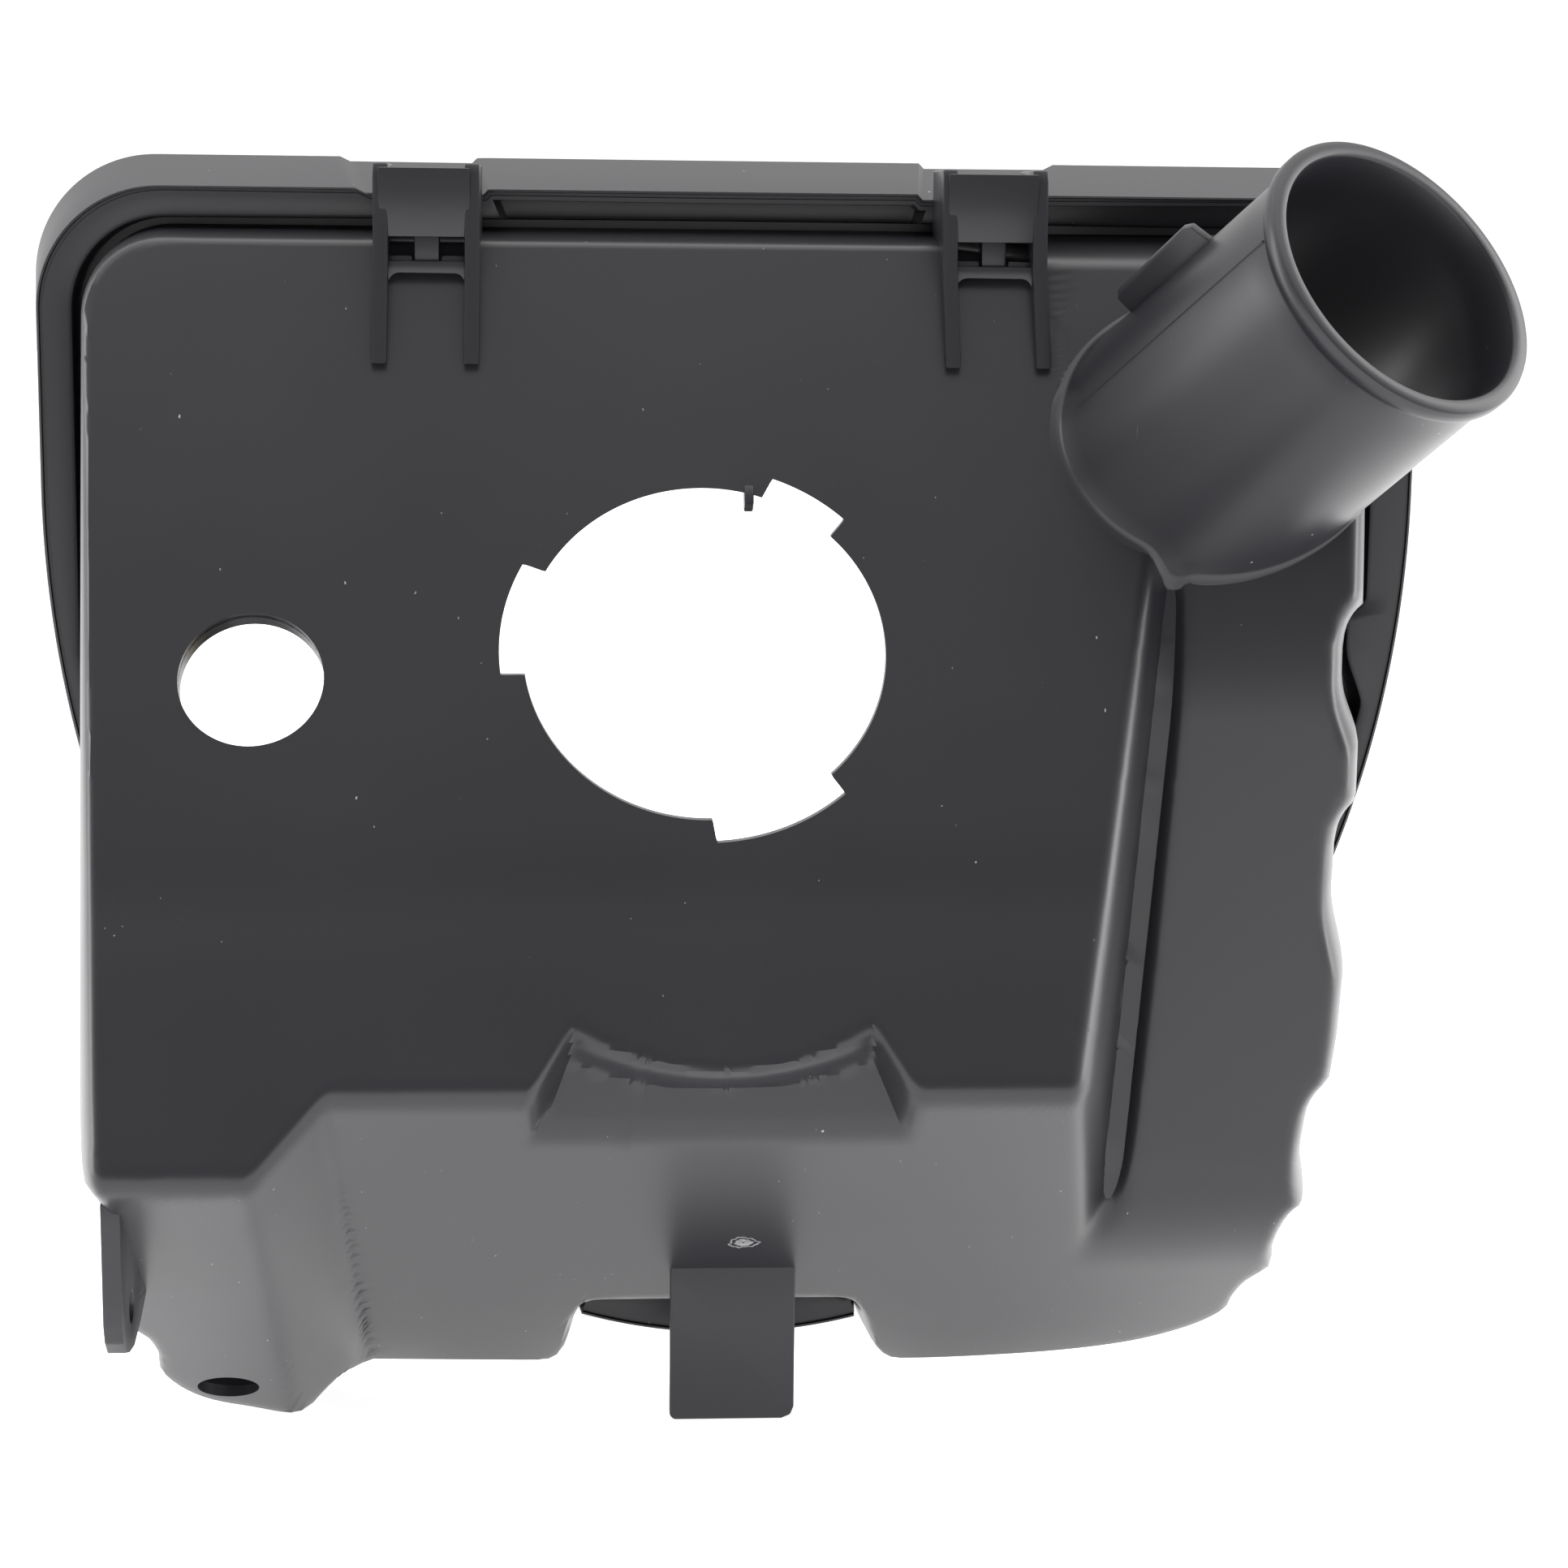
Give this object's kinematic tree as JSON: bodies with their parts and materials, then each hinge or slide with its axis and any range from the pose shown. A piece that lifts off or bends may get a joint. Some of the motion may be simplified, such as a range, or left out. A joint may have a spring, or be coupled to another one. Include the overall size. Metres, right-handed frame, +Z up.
{
  "type": "air filter housing",
  "caption": "Moulded air filter housing with an inlet snorkel and bayonet bore, and a hinged cover that carries a panel filter and two latches.",
  "frame": {"origin": "middle of the object's footprint, on the surface it stands on, with the cover lying open behind the housing", "axes": "+X to the right as seen from the outside of the sloping wall, +Y from the sloping wall towards the open cover, +Z up"},
  "size_m": [0.3458, 0.5582, 0.3198],
  "materials": {
    "polypropylene": "satin moulded, black",
    "acetal": "satin moulded, black",
    "steel": "zinc plated",
    "polyurethane": "moulded foam rubber",
    "paper": "resin-treated filter paper",
    "rubber": "matt"
  },
  "bodies": {
    "housing": {"housing_shell": "polypropylene", "inlet_snorkel": "polypropylene", "snorkel_fin": "polypropylene", "catch_left": "polypropylene", "catch_right": "polypropylene", "mounting_tab": "polypropylene", "mounting_ear": "polypropylene", "hinge_bracket_left": "polypropylene", "hinge_bracket_right": "polypropylene", "hinge_pin_left": "steel", "hinge_pin_right": "steel"},
    "cover": {"cover_shell": "polypropylene", "cover_seal": "rubber", "filter_frame": "polyurethane", "filter_pleats": "paper", "filter_screen": "steel", "filter_clip_1": "steel", "filter_clip_2": "steel", "filter_clip_3": "steel", "filter_clip_4": "steel", "latch_pin_left": "steel", "latch_pin_right": "steel"},
    "latch_left": {"latch_left": "acetal"},
    "latch_right": {"latch_right": "acetal"}
  },
  "joints": [
    {"name": "cover_hinge", "type": "hinge", "parent": "housing", "child": "cover", "pos_m": [-0.00094, -0.09658, 0.0054], "axis": [1, 0, 0], "range_deg": [0, 90]},
    {"name": "latch_left_pivot", "type": "hinge", "parent": "cover", "child": "latch_left", "pos_m": [-0.07514, 0.21992, 0.0194], "axis": [1, 0, 0], "range_deg": [0, 90]},
    {"name": "latch_right_pivot", "type": "hinge", "parent": "cover", "child": "latch_right", "pos_m": [0.05906, 0.21992, 0.0194], "axis": [1, 0, 0], "range_deg": [0, 90]}
  ]
}
